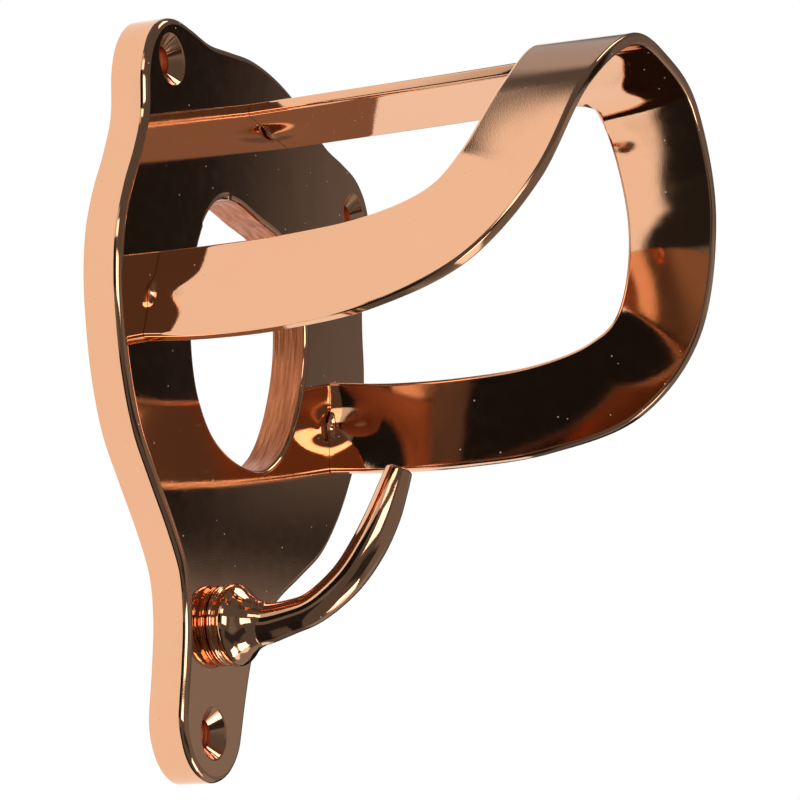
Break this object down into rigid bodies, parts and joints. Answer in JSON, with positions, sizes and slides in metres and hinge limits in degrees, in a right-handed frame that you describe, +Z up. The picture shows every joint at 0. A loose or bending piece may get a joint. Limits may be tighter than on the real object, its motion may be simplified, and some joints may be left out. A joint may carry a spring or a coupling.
{
  "type": "bridle bracket",
  "caption": "Wall bracket for hanging a bridle: shaped back plate, saddle-shaped strap arch joined by a top bar, and a rein hook below.",
  "frame": {"origin": "on the plate's flat back face, on its centre line, between the central opening and the hook", "axes": "+X to the object's right seen from the front, +Y into the wall, +Z up; the arch and the hook stand out along -Y"},
  "size_m": [0.1624, 0.1451, 0.2276],
  "materials": {
    "copper": "mirror polished copper plate over a casting",
    "screw_steel": "zinc plated"
  },
  "bodies": {
    "root": {"back_plate": "copper", "saddle_arch": "copper", "hook": "copper", "left_arm_screw": "screw_steel", "right_arm_screw": "screw_steel", "bar_screw": "screw_steel", "hook_screw": "screw_steel"}
  },
  "joints": []
}
